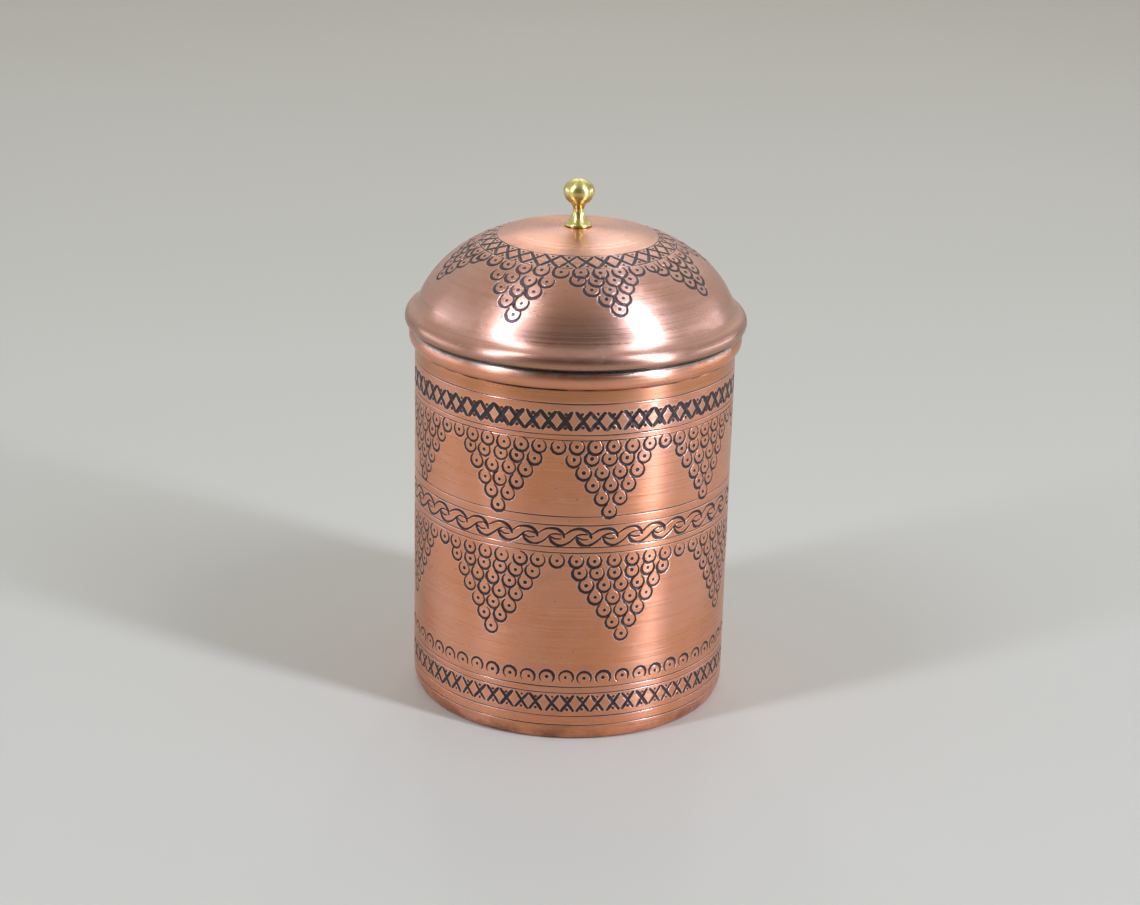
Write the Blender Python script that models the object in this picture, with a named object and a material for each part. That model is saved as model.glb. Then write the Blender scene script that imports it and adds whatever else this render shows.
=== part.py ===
"""Engraved copper tea caddy: a drum with a soldered base, and a domed lift-off lid with a brass knob.

Metres, +Z up. The origin is the centre of the base, on the surface that the caddy stands on.
Every turned piece is a closed profile in the XZ plane, spun around Z.
"""
import math

import bmesh
import bpy
from mathutils import Matrix, Vector

MM = 0.001

# Driving dimensions, in millimetres.
SEGMENTS = 60              # sides of the large turned pieces
SMALL_SEGMENTS = 24        # sides of the knob, its washer and its nut's bore
GAP = 0.3                  # clearance between pieces that touch

WALL_RADIUS = 45.0         # outside of the drum
SHEET = 1.0                # copper sheet of the drum
FOOT_RADIUS = 43.25        # outside of the drum where it meets the table
FOOT_HEIGHT = 4.5          # height of the turned-in foot
LIP_HEIGHT = 107.4         # top of the drum
BEAD_RADIUS = 46.7         # outside of the folded mouth bead
BEAD_BOTTOM = 102.3        # underside of the bead, where the fold meets the wall
BEAD_CENTRE = 45.1         # radius of the middle of the bead's rounded section
LIP_RADIUS = 45.9          # outer edge of the lip's flat top
LIP_CHAMFER = 0.3          # broken inner edge of the lip
UNDERCUT = 0.2             # height of the small slope where the bead's underside meets the wall
FOOT_ROUNDING = 0.3        # how much taller the foot's curve is inside than outside

PAN_SHEET = 0.9
PAN_FLANGE_TOP = 8.0       # top of the base pan's upturned flange
PAN_CORNER = 2.2           # inside corner radius of the pan

LID_SHEET = 0.8
BRIM_BOTTOM = LIP_HEIGHT + GAP
STUD_HOLE = 1.8            # radius of the hole for the knob's stud
# The lid's outside from the crown outwards: each arc's radius, the downward slope in degrees that it
# ends on, and its steps. Arcs run on smoothly from one another, and a hollow one has a negative radius.
LID_ARCS = (
    (150.0, 4.7, 2),       # crown
    (43.3, 37.7, 5),       # shoulder
    (29.0, 66.8, 4),       # side
    (-4.8, 28.5, 3),       # flare above the brim
    (3.1, 90.0, 4),        # outer face of the brim
    (1.9, 250.0, 6),       # its edge, rolled under
)

COLLAR_RADIUS = 43.3       # outside of the locating collar, a loose fit in the mouth
COLLAR_SHEET = 0.8
COLLAR_BOTTOM = 98.0
COLLAR_TOP = 113.0
COLLAR_LEAD_IN = ((0.0, 0.8), (0.2, 0.2), (0.5, 0.0))    # inset and height of its rounded lower edge

SEAM_SIZE = 1.3            # legs of the solder fillets
SEAM_INSET = 0.4           # how far inside the collar's outer face its solder starts

# The knob's outside from its top, as arcs like the lid's.
KNOB_ARCS = (
    (5.0, 41.0, 2),        # flat top of the head
    (2.97, 90.0, 3),       # its round side
    (3.85, 146.0, 3),      # its underside
    (-2.5, 90.0, 3),       # neck
    (-4.0, 28.0, 4),       # flare
    (0.52, 180.0, 4),      # edge of the flange
)
STUD_RADIUS = 1.45
STUD_LENGTH = 6.2          # stud below the flange
STUD_CHAMFER = 0.3
WASHER_RADIUS = 4.5
WASHER_SHEET = 0.8
WASHER_PLAY = 0.1          # extra clearance under the slightly domed crown
NUT_ACROSS_FLATS = 5.5
NUT_HEIGHT = 2.4

COPPER = (0.80, 0.42, 0.28)
INNER_COPPER = (0.72, 0.45, 0.33)
TIN = (0.70, 0.70, 0.68)
BRASS = (0.80, 0.66, 0.26)


def material(name, colour, roughness, metallic=1.0):
    """A Principled material with the piece's colour, roughness and metallic value."""
    made = bpy.data.materials.new(name)
    made.use_nodes = True
    shader = made.node_tree.nodes["Principled BSDF"]
    shader.inputs["Base Color"].default_value = (*colour, 1.0)
    shader.inputs["Roughness"].default_value = roughness
    shader.inputs["Metallic"].default_value = metallic
    return made


def ellipse_arc(centre, radii, start, end, steps):
    """Points on an ellipse, from angle start to angle end in degrees, both included."""
    points = []
    for i in range(steps + 1):
        angle = math.radians(start + (end - start) * i / steps)
        points.append((centre[0] + radii[0] * math.cos(angle), centre[1] + radii[1] * math.sin(angle)))
    return points


def arc_chain(arcs, offset=0.0):
    """Points along arcs that start level on the axis at height 0, moved inwards by offset."""
    points = [(0.0, -offset)]
    radius, height, slope = 0.0, 0.0, 0.0
    for arc_radius, end_slope, steps in arcs:
        start = math.radians(slope)
        turn = math.radians(end_slope) - start
        for i in range(1, steps + 1):
            angle = start + turn * i / steps
            r = radius + arc_radius * (math.sin(angle) - math.sin(start))
            z = height - arc_radius * (math.cos(start) - math.cos(angle))
            points.append((r - offset * math.sin(angle), z - offset * math.cos(angle)))
        radius, height, slope = r, z, end_slope
    return points


def crown_height():
    """Height of the dome's top, which puts the lowest point of the brim's roll at BRIM_BOTTOM."""
    return BRIM_BOTTOM - min(z for _, z in arc_chain(LID_ARCS))


def raised(points, height):
    """The same points, moved up."""
    return [(r, z + height) for r, z in points]


def cut_at_radius(outline, radius):
    """The outline from the given radius outwards, starting exactly on that radius."""
    for i in range(len(outline) - 1):
        (r0, z0), (r1, z1) = outline[i], outline[i + 1]
        if r0 <= radius < r1:
            t = (radius - r0) / (r1 - r0)
            return [(radius, z0 + t * (z1 - z0))] + outline[i + 1:]
    return outline


def turned(name, profile, look, segments=SEGMENTS, sharp_angle=35.0):
    """Spin a closed profile of (radius, height) points, in millimetres, around Z."""
    bm = bmesh.new()
    verts = [bm.verts.new((r * MM, 0.0, z * MM)) for r, z in profile]
    edges = []
    for a, b in zip(verts, verts[1:] + verts[:1]):
        on_axis = a.co.x < 1e-9 and b.co.x < 1e-9
        if not on_axis:
            edges.append(bm.edges.new((a, b)))
    bmesh.ops.spin(
        bm, geom=verts + edges, cent=(0.0, 0.0, 0.0), axis=(0.0, 0.0, 1.0),
        angle=math.tau, steps=segments, use_merge=True,
    )
    bmesh.ops.remove_doubles(bm, verts=bm.verts, dist=0.000001)
    return finished(name, bm, look, sharp_angle)


def finished(name, bm, look, sharp_angle=35.0):
    """Turn a bmesh into a smooth-shaded object with its faces pointing out."""
    bmesh.ops.recalc_face_normals(bm, faces=bm.faces)
    mesh = bpy.data.meshes.new(name)
    bm.to_mesh(mesh)
    bm.free()
    mesh.shade_smooth()
    mesh.set_sharp_from_angle(angle=math.radians(sharp_angle))
    mesh.materials.append(look)
    made = bpy.data.objects.new(name, mesh)
    bpy.context.scene.collection.objects.link(made)
    return made


def place(obj, location, parent=None):
    """Give a piece an origin of its own, keeping its shape where it is, and parent it."""
    origin = Vector(location) * MM
    obj.data.transform(Matrix.Translation(-origin))
    if parent is not None:
        obj.parent = parent
        obj.location = origin - parent.location
    else:
        obj.location = origin
    return obj


def make_drum():
    """The drum's wall: a foot turned in at the bottom and a mouth edge folded out into a bead."""
    inner = WALL_RADIUS - SHEET
    bead_middle = (LIP_HEIGHT + BEAD_BOTTOM) / 2
    bead_half = (LIP_HEIGHT - BEAD_BOTTOM) / 2
    foot_inner = FOOT_RADIUS - SHEET
    profile = [(inner + LIP_CHAMFER, LIP_HEIGHT), (LIP_RADIUS, LIP_HEIGHT)]
    profile += ellipse_arc((BEAD_CENTRE, bead_middle), (BEAD_RADIUS - BEAD_CENTRE, bead_half), 50, -80, 5)
    profile += [(WALL_RADIUS, BEAD_BOTTOM - UNDERCUT)]
    profile += ellipse_arc((FOOT_RADIUS, FOOT_HEIGHT), (WALL_RADIUS - FOOT_RADIUS, FOOT_HEIGHT), 0, -90, 5)
    profile += ellipse_arc((foot_inner, FOOT_HEIGHT + FOOT_ROUNDING),
                           (inner - foot_inner, FOOT_HEIGHT + FOOT_ROUNDING), -90, 0, 4)
    profile += [(inner, LIP_HEIGHT - LIP_CHAMFER)]
    return turned("body_drum", profile, material("drum_copper", COPPER, 0.3))


def make_pan():
    """The base: a flat disc whose edge turns up inside the drum's foot."""
    foot_inner = FOOT_RADIUS - SHEET
    rim = WALL_RADIUS - SHEET - GAP
    outside = ellipse_arc((foot_inner - GAP, FOOT_HEIGHT + FOOT_ROUNDING),
                          (rim - foot_inner + GAP, FOOT_HEIGHT + FOOT_ROUNDING), -90, 0, 4)
    corner = (rim - PAN_SHEET - PAN_CORNER, PAN_SHEET + PAN_CORNER)
    inside = ellipse_arc(corner, (PAN_CORNER, PAN_CORNER), 0, -90, 4)
    profile = [(0.0, 0.0)] + outside
    profile += [(rim, PAN_FLANGE_TOP), (rim - PAN_SHEET, PAN_FLANGE_TOP)]
    profile += inside + [(0.0, PAN_SHEET)]
    return turned("base_pan", profile, material("base_copper", INNER_COPPER, 0.4))


def make_base_seam():
    """Solder run along the top of the pan's flange, against the drum's inner wall."""
    outer = WALL_RADIUS - SHEET - GAP
    low = PAN_FLANGE_TOP + GAP
    profile = [(outer, low), (outer, low + SEAM_SIZE), (outer - SEAM_SIZE * 0.35, low + SEAM_SIZE * 0.45),
               (outer - SEAM_SIZE, low)]
    return turned("base_solder_seam", profile, material("base_solder", TIN, 0.45))


def make_dome():
    """The lid's shell: the dome, a hollow flare into the brim, and the brim's edge rolled under."""
    outer = cut_at_radius(raised(arc_chain(LID_ARCS), crown_height()), STUD_HOLE)
    inner = cut_at_radius(raised(arc_chain(LID_ARCS, LID_SHEET), crown_height()), STUD_HOLE)
    return turned("lid_dome", outer + inner[::-1], material("lid_copper", COPPER, 0.3))


def make_collar():
    """The sleeve inside the lid that drops into the drum's mouth."""
    inner = COLLAR_RADIUS - COLLAR_SHEET
    profile = [(inner, COLLAR_TOP), (COLLAR_RADIUS, COLLAR_TOP)]
    profile += [(COLLAR_RADIUS - inset, COLLAR_BOTTOM + height) for inset, height in COLLAR_LEAD_IN]
    profile += [(inner, COLLAR_BOTTOM)]
    return turned("lid_collar", profile, material("collar_tin", TIN, 0.4))


def make_collar_seam():
    """Solder run on top of the collar, against the inside of the dome."""
    outer = COLLAR_RADIUS - SEAM_INSET
    low = COLLAR_TOP + GAP
    profile = [(outer, low), (outer - 0.15, low + SEAM_SIZE * 0.8),
               (outer - SEAM_SIZE * 0.4, low + SEAM_SIZE * 0.45), (outer - SEAM_SIZE, low)]
    return turned("collar_solder_seam", profile, material("collar_solder", TIN, 0.45))


def make_knob():
    """The brass knob: ball head, waist and flange, with the stud that goes through the crown."""
    outline = arc_chain(KNOB_ARCS)
    seat = crown_height() + GAP
    profile = raised(outline, seat - outline[-1][1])
    stud_bottom = seat - STUD_LENGTH
    profile += [(STUD_RADIUS, seat), (STUD_RADIUS, stud_bottom + STUD_CHAMFER),
                (STUD_RADIUS - STUD_CHAMFER, stud_bottom),
                (0.0, stud_bottom)]
    return turned("knob", profile, material("knob_brass", BRASS, 0.25), SMALL_SEGMENTS)


def washer_top():
    """Height of the washer's upper face, a gap below the crown's inside."""
    return crown_height() - LID_SHEET - GAP - WASHER_PLAY


def make_washer():
    """The washer between the crown and the nut."""
    top = washer_top()
    low = top - WASHER_SHEET
    profile = [(STUD_HOLE, top), (WASHER_RADIUS, top), (WASHER_RADIUS, low), (STUD_HOLE, low)]
    return turned("knob_washer", profile, material("washer_brass", BRASS, 0.4), SMALL_SEGMENTS)


def make_nut():
    """The hex nut: a six-sided prism with chamfered corners and a round bore."""
    top = washer_top() - WASHER_SHEET - GAP
    middle = top - NUT_HEIGHT / 2
    across_corners = NUT_ACROSS_FLATS / math.cos(math.radians(30))
    corner = across_corners / 2
    bm = bmesh.new()
    bmesh.ops.create_cone(
        bm, cap_ends=True, segments=6, radius1=corner * MM, radius2=corner * MM, depth=NUT_HEIGHT * MM,
        matrix=Matrix.Translation((0.0, 0.0, middle * MM)),
    )
    nut = finished("knob_nut", bm, material("nut_brass", BRASS, 0.4))
    half = NUT_HEIGHT / 2
    chamfer = [(0.0, middle + half + 0.2), (corner - 0.75, middle + half + 0.2),
               (corner + 0.15, middle + half - 0.35), (corner + 0.15, middle - half + 0.35),
               (corner - 0.75, middle - half - 0.2), (0.0, middle - half - 0.2)]
    bore = [(0.0, middle + NUT_HEIGHT), (STUD_HOLE, middle + NUT_HEIGHT), (STUD_HOLE, middle - NUT_HEIGHT),
            (0.0, middle - NUT_HEIGHT)]
    for label, profile, operation in (("chamfer", chamfer, "INTERSECT"), ("bore", bore, "DIFFERENCE")):
        cutter = turned(f"cutter_nut_{label}", profile, nut.data.materials[0], SMALL_SEGMENTS)
        cutter.hide_render = True
        cutter.display_type = "WIRE"
        cut = nut.modifiers.new(label, "BOOLEAN")
        cut.operation = operation
        cut.solver = "EXACT"
        cut.object = cutter
    return nut


def build():
    """Clear the scene, make the nine pieces and hang the lid's pieces on the lid's lifting axis."""
    for old in list(bpy.data.objects):
        bpy.data.objects.remove(old, do_unlink=True)

    place(make_drum(), (0.0, 0.0, 0.0))
    place(make_pan(), (0.0, 0.0, 0.0))
    place(make_base_seam(), (0.0, 0.0, 0.0))

    lift_axis = bpy.data.objects.new("lid_lift_axis", None)
    lift_axis.location = (0.0, 0.0, BRIM_BOTTOM * MM)
    bpy.context.scene.collection.objects.link(lift_axis)
    for piece in (make_dome(), make_collar(), make_collar_seam(), make_knob(), make_washer()):
        place(piece, (0.0, 0.0, BRIM_BOTTOM), lift_axis)

    nut = make_nut()
    for piece in [nut] + [cut.object for cut in nut.modifiers]:
        place(piece, (0.0, 0.0, BRIM_BOTTOM), lift_axis)


build()
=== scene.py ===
"""Looks of the engraved copper tea caddy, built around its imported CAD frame.

The drum's wall and the lid's dome are cut again here with their ornament as real geometry: every punch
and graver stroke is an outline in the flat plan of the surface, the plan is triangulated, and the
points inside a stroke are pushed into the metal. Lengths are millimetres until a mesh is made.
"""

import math
import random

import bmesh
import bpy
import numpy as np
from mathutils import Matrix, Vector
from mathutils.geometry import delaunay_2d_cdt


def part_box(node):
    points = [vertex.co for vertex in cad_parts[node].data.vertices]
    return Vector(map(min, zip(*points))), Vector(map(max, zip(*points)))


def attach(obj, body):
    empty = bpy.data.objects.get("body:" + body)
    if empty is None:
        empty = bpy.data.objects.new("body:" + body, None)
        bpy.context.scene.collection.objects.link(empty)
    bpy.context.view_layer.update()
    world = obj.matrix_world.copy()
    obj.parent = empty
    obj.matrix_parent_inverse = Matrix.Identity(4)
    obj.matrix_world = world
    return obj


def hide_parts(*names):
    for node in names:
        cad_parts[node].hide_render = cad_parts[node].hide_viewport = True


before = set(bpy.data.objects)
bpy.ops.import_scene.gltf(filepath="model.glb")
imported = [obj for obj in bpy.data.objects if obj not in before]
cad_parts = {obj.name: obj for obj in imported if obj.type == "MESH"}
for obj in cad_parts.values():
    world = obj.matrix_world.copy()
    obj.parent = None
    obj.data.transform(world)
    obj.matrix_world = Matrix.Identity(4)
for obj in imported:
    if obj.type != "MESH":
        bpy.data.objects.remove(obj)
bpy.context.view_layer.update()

MM = 0.001
COLUMNS = 200                  # sides of the drum and the lid
MARGIN = 0.17                  # width of the raised burr beside a stroke


def node_size(node):
    """Outer radius, bottom and top of a CAD node, in millimetres."""
    low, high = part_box(node)
    return high.x / MM, low.z / MM, high.z / MM


bead_radius, _, lip_height = node_size("body_drum")
_, brim_bottom, crown_height = node_size("lid_dome")
_, knob_bottom, knob_top = node_size("knob")
pan_radius, _, pan_top = node_size("base_pan")
collar_radius, collar_bottom, collar_top = node_size("lid_collar")
washer_radius, washer_bottom, washer_top = node_size("knob_washer")

WALL_RADIUS = bead_radius - 1.7
SHEET = 1.0                    # thickness of the drum's wall
FOOT_RADIUS = WALL_RADIUS - 1.75
FOOT_HEIGHT = 4.5              # height over which the wall turns in to the foot
BEAD_BOTTOM = lip_height - 5.1
LID_SHEET = 0.8
STUD_HOLE = 1.8                # radius of the hole for the knob's stud
PAN_SHEET = 0.9
PAN_CORNER = 2.2               # inner radius of the pan's turned-up edge


# -------- outlines

def ellipse_arc(centre, radii, start, end, steps):
    """Points on an ellipse, from angle start to angle end in degrees, both included."""
    points = []
    for i in range(steps + 1):
        angle = math.radians(start + (end - start) * i / steps)
        points.append((centre[0] + radii[0] * math.cos(angle), centre[1] + radii[1] * math.sin(angle)))
    return points


def arc_chain(arcs, spacing, offset=0.0):
    """Points along arcs of (radius, end slope) that start level on the axis at height 0.

    Arcs run on smoothly from one another; a hollow one has a negative radius. Points lie about
    spacing apart, and are moved inwards by offset.
    """
    points = [(0.0, -offset)]
    radius, height, slope = 0.0, 0.0, 0.0
    for arc_radius, end_slope in arcs:
        start = math.radians(slope)
        turn = math.radians(end_slope) - start
        steps = max(4, math.ceil(abs(arc_radius * turn) / spacing))
        for i in range(1, steps + 1):
            angle = start + turn * i / steps
            r = radius + arc_radius * (math.sin(angle) - math.sin(start))
            z = height - arc_radius * (math.cos(start) - math.cos(angle))
            points.append((r - offset * math.sin(angle), z - offset * math.cos(angle)))
        radius, height, slope = r, z, end_slope
    return points


class Skin:
    """A turned surface that can be cut: radius, height and outward normal along its outline."""

    def __init__(self, points):
        self.points = np.array(points)
        step = np.hypot(*np.diff(self.points, axis=0).T)
        self.length = np.concatenate([[0.0], np.cumsum(step)])
        along = np.gradient(self.points, self.length, axis=0)
        size = np.hypot(along[:, 0], along[:, 1])
        self.normal = np.stack([-along[:, 1], along[:, 0]], 1) / size[:, None]

    def at(self, s):
        """Radius, height and the normal's two parts at distance s along the outline."""
        r = np.interp(s, self.length, self.points[:, 0])
        z = np.interp(s, self.length, self.points[:, 1])
        normal_r = np.interp(s, self.length, self.normal[:, 0])
        normal_z = np.interp(s, self.length, self.normal[:, 1])
        return r, z, normal_r, normal_z


# -------- strokes

class Stroke:
    """One cut: a line of (x, y, half width) points around a place on the surface.

    x runs to the right and y runs up the surface. theta is in radians, s along the outline.
    """

    def __init__(self, theta, s, points, depth, burr=0.03, sides=9):
        self.theta = theta
        self.s = s
        self.points = np.array(points, float)
        self.depth = depth
        self.burr = burr
        self.sides = sides

    def loops(self):
        """The outer and the inner closed outline, and the line along the bottom of the cut."""
        p = self.points[:, :2]
        half = self.points[:, 2]
        if len(p) == 1:
            turn = np.linspace(0, math.tau, self.sides, endpoint=False)
            circle = np.stack([np.cos(turn), np.sin(turn)], 1)
            return p + circle * (half[0] + MARGIN), p + circle * half[0], p
        along = np.gradient(p, axis=0)
        along /= np.hypot(along[:, 0], along[:, 1])[:, None]
        side = np.stack([-along[:, 1], along[:, 0]], 1)
        outlines = []
        for extra in (MARGIN, 0.0):
            width = (half + extra)[:, None]
            left = p + side * width
            right = p - side * width
            tip = p[-1] + along[-1] * width[-1]
            tail = p[0] - along[0] * width[0]
            outlines.append(np.concatenate([right, [tip], left[::-1], [tail]]))
        return outlines[0], outlines[1], p

    def reach(self):
        """How far the stroke reaches from its place, with its burr."""
        return np.abs(self.points[:, :2]).max() + self.points[:, 2].max() + MARGIN

    def measure(self, x, y):
        """Height of the surface and how deep inside the cut each local point (x, y) is, 0 to 1."""
        p = self.points
        if len(p) == 1:
            distance = np.hypot(x - p[0, 0], y - p[0, 1])
            half = np.full_like(distance, p[0, 2])
        else:
            a, b = p[:-1, :2], p[1:, :2]
            d = b - a
            size = (d ** 2).sum(1)
            t = ((x[:, None] - a[:, 0]) * d[:, 0] + (y[:, None] - a[:, 1]) * d[:, 1]) / size
            t = np.clip(t, 0.0, 1.0)
            gap = np.hypot(x[:, None] - a[:, 0] - t * d[:, 0], y[:, None] - a[:, 1] - t * d[:, 1])
            width = p[:-1, 2] + t * (p[1:, 2] - p[:-1, 2])
            nearest = (gap - width).argmin(1)
            rows = np.arange(len(x))
            distance, half = gap[rows, nearest], width[rows, nearest]
        inside = np.clip(1.0 - distance / half, 0.0, 1.0)
        ridge = np.clip(1.0 - (distance - half) / MARGIN, 0.0, 1.0) * (1.0 - inside)
        return self.burr * ridge - self.depth * inside, inside, ridge


def cut_band(skin, s_top, s_bottom, strokes, row_gap, scale_radius):
    """Triangulate one band of a skin with its strokes, and return its points in the flat plan.

    The plan's x is the angle times scale_radius, and its y is -s, because s runs down the surface.
    Returns each point's angle, s, height, inside and ridge, and the triangles.
    """
    width = math.tau * scale_radius
    placed = []
    for stroke in strokes:
        squeeze = scale_radius / skin.at(stroke.s)[0]
        x = (stroke.theta % math.tau) * scale_radius
        reach = stroke.reach() * squeeze
        for shift in (-width, 0.0, width):
            if -reach < x + shift < width + reach:
                placed.append((stroke, x + shift, squeeze))

    points, edges = [], []

    def add_loop(loop, closed):
        first = len(points)
        points.extend(Vector((float(px), float(py))) for px, py in loop)
        count = len(loop)
        edges.extend((first + i, first + i + 1) for i in range(count - 1))
        if closed and count > 2:
            edges.append((first + count - 1, first))

    y_low, y_high = -s_bottom, -s_top
    rows = max(1, round((y_high - y_low) / row_gap))
    ys = np.linspace(y_low, y_high, rows + 1)
    xs = np.linspace(0.0, width, COLUMNS + 1)
    border = [(x, y_low) for x in xs] + [(width, y) for y in ys[1:]]
    border += [(x, y_high) for x in xs[-2::-1]] + [(0.0, y) for y in ys[-2:0:-1]]
    add_loop(border, True)

    grid_x, grid_y = np.meshgrid(xs[1:-1], ys[1:-1])
    grid_x, grid_y = grid_x.ravel(), grid_y.ravel()
    free = np.ones(len(grid_x), bool)
    for stroke, x, squeeze in placed:
        y = -stroke.s
        reach = stroke.reach() + 0.4
        near = (np.abs(grid_x - x) < reach * squeeze) & (np.abs(grid_y - y) < reach)
        if near.any():
            local_x = (grid_x[near] - x) / squeeze
            wider = Stroke(0.0, 0.0, stroke.points + [0.0, 0.0, 0.3], 1.0)
            _, inside, ridge = wider.measure(local_x, grid_y[near] - y)
            index = np.flatnonzero(near)
            free[index[(ridge > 0) | (inside > 0)]] = False
        outer, rim, bottom = stroke.loops()
        for loop, closed in ((outer, True), (rim, True), (bottom, False)):
            add_loop(np.stack([loop[:, 0] * squeeze + x, loop[:, 1] + y], 1), closed)
    points.extend(Vector((float(px), float(py))) for px, py in zip(grid_x[free], grid_y[free]))

    flat, _, triangles, _, _, _ = delaunay_2d_cdt(points, edges, [], 0, 1e-5, False)
    flat = np.array([(v.x, v.y) for v in flat])
    triangles = np.array(triangles)
    centre = flat[triangles].mean(1)
    keep = (centre[:, 0] > 0) & (centre[:, 0] < width) & (centre[:, 1] > y_low) & (centre[:, 1] < y_high)
    triangles = triangles[keep]
    used, index = np.unique(triangles, return_inverse=True)
    flat = flat[used]
    triangles = index.reshape(-1, 3)

    height = np.zeros(len(flat))
    inside = np.zeros(len(flat))
    ridge = np.zeros(len(flat))
    for stroke, x, squeeze in placed:
        y = -stroke.s
        reach = stroke.reach() + 0.05
        near = np.flatnonzero((np.abs(flat[:, 0] - x) < reach * squeeze) & (np.abs(flat[:, 1] - y) < reach))
        if len(near) == 0:
            continue
        local_x = (flat[near, 0] - x) / squeeze
        lift, depth, burr = stroke.measure(local_x, flat[near, 1] - y)
        in_cut = depth > 1e-3
        deeper = in_cut & ((lift < height[near]) | (inside[near] == 0))
        height[near[deeper]] = lift[deeper]
        inside[near[deeper]] = np.maximum(inside[near[deeper]], depth[deeper])
        beside = (~in_cut) & (inside[near] == 0) & (lift > height[near])
        height[near[beside]] = lift[beside]
        ridge[near[beside]] = np.maximum(ridge[near[beside]], burr[beside])
    ridge[inside > 0] = 0.0
    return flat[:, 0] / scale_radius, -flat[:, 1], height, inside, ridge, triangles


# -------- ornament

def smooth_line(points, steps=2):
    """A curve through (x, y, half width) points (Catmull-Rom), with steps points between each pair."""
    p = [np.array(q, float) for q in points]
    p = [2 * p[0] - p[1]] + p + [2 * p[-1] - p[-2]]
    curve = []
    for a, b, c, d in zip(p, p[1:], p[2:], p[3:]):
        for i in range(steps):
            t = i / steps
            curve.append(0.5 * (2 * b + (c - a) * t + (2 * a - 5 * b + 4 * c - d) * t ** 2
                                + (3 * b - a - 3 * c + d) * t ** 3))
    curve.append(p[-2])
    return curve


def turned_by(points, angle):
    """The points turned by an angle in radians."""
    c, s = math.cos(angle), math.sin(angle)
    return [(x * c - y * s, x * s + y * c, w) for x, y, w in points]


def punched_ring(rng, theta, s, tilt=0.0, opening=62.0, radius=2.02, heavy=0.50, light=0.30):
    """A ring struck with a curved punch, open at the top and heavier at the lower left, and its dot."""
    theta += rng.gauss(0, 0.10) / WALL_RADIUS
    s += rng.gauss(0, 0.09)
    tilt += math.radians(rng.gauss(0, 7))
    radius *= rng.uniform(0.96, 1.04)
    force = rng.uniform(0.85, 1.15)
    steps = 9
    points = []
    for i in range(steps + 1):
        angle = math.radians(90 + opening / 2 + (360 - opening) * i / steps)
        weight = 0.5 + 0.5 * math.cos(angle - math.radians(222))
        end = min(1.0, 0.5 + 0.5 * min(i, steps - i) / 2)
        points.append((radius * math.cos(angle), radius * math.sin(angle),
                       (light + (heavy - light) * weight) * force * end))
    arc = Stroke(theta, s, turned_by(points, tilt), depth=0.30 * force)
    dot = Stroke(theta + rng.gauss(0, 0.07) / WALL_RADIUS, s + rng.gauss(0, 0.07),
                 [(0.0, 0.0, 0.70 * rng.uniform(0.9, 1.12))], depth=0.36, sides=6)
    return [arc, dot]


def cross(rng, theta, s, half_width, half_height, heavy, dot):
    """A cross of two graver strokes with a small dot in its upper and lower notch."""
    theta += rng.gauss(0, 0.10) / WALL_RADIUS
    strokes = []
    for lean in (-1, 1):
        w = half_width * rng.uniform(0.9, 1.1)
        h = half_height * rng.uniform(0.95, 1.02)
        thick = heavy * rng.uniform(0.85, 1.15)
        bow = rng.uniform(-0.12, 0.12)
        line = [(-w * lean, -h, thick * 0.8), (-w * lean * 0.5 + bow, -h * 0.5, thick),
                (bow, 0.0, thick * 0.85), (w * lean * 0.5 + bow, h * 0.5, thick), (w * lean, h, thick * 0.8)]
        strokes.append(Stroke(theta, s, line, depth=0.28))
    for side in (-1, 1):
        x = rng.gauss(0, 0.08)
        y = side * half_height * rng.uniform(0.74, 0.86)
        strokes.append(Stroke(theta, s, [(x, y, dot * rng.uniform(0.85, 1.15))], depth=0.25, sides=6))
    return strokes


def scroll(rng, theta, s, pitch, height):
    """One link of the running scroll: a crest, the trough that runs on under the next crest, and an eye."""
    crest = [(-0.40, 0.16, 0.16), (-0.17, 0.39, 0.24), (0.08, 0.48, 0.32), (0.33, 0.42, 0.42),
             (0.51, 0.20, 0.44), (0.57, -0.06, 0.26)]
    trough = [(0.00, -0.03, 0.26), (0.10, -0.30, 0.46), (0.29, -0.47, 0.40), (0.50, -0.47, 0.30),
              (0.79, -0.25, 0.24), (1.04, 0.08, 0.22), (1.25, 0.19, 0.20), (1.43, 0.15, 0.15)]
    eye = [(0.03, 0.01, 0.24), (0.25, -0.14, 0.22), (0.45, -0.10, 0.16)]
    strokes = []
    for line, depth in ((crest, 0.32), (trough, 0.32), (eye, 0.24)):
        force = rng.uniform(0.85, 1.15)
        shaped = [(x * pitch + rng.gauss(0, 0.05), y * height + rng.gauss(0, 0.05), 1.3 * w * force)
                  for x, y, w in line]
        strokes.append(Stroke(theta, s, smooth_line(shaped), depth=depth * force))
    return strokes


def scribed_line(rng, skin, s, drift=None, half=0.15, depth=0.16):
    """A fine line round the surface, a little uneven; drift gives how far down it runs at each angle."""
    strokes = []
    parts = 24
    steps = COLUMNS // parts // 2
    drift = drift or (lambda theta: 0.0)
    phase = [rng.uniform(0, math.tau) for _ in range(3)]
    for part in range(parts):
        middle = math.tau * (part + 0.5) / parts
        place = s + drift(middle)
        radius = float(skin.at(place)[0])
        points = []
        for i in range(steps + 1):
            turn = math.tau * (part + i / steps) / parts
            wave = 0.05 * math.sin(3 * turn + phase[0]) + 0.03 * math.sin(11 * turn + phase[1])
            width = half * (1 + 0.25 * math.sin(7 * turn + phase[2]))
            points.append(((turn - middle) * radius, wave + place - s - drift(turn), width))
        strokes.append(Stroke(middle, place, points, depth=depth, burr=0.015))
    return strokes


# -------- meshes

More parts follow.
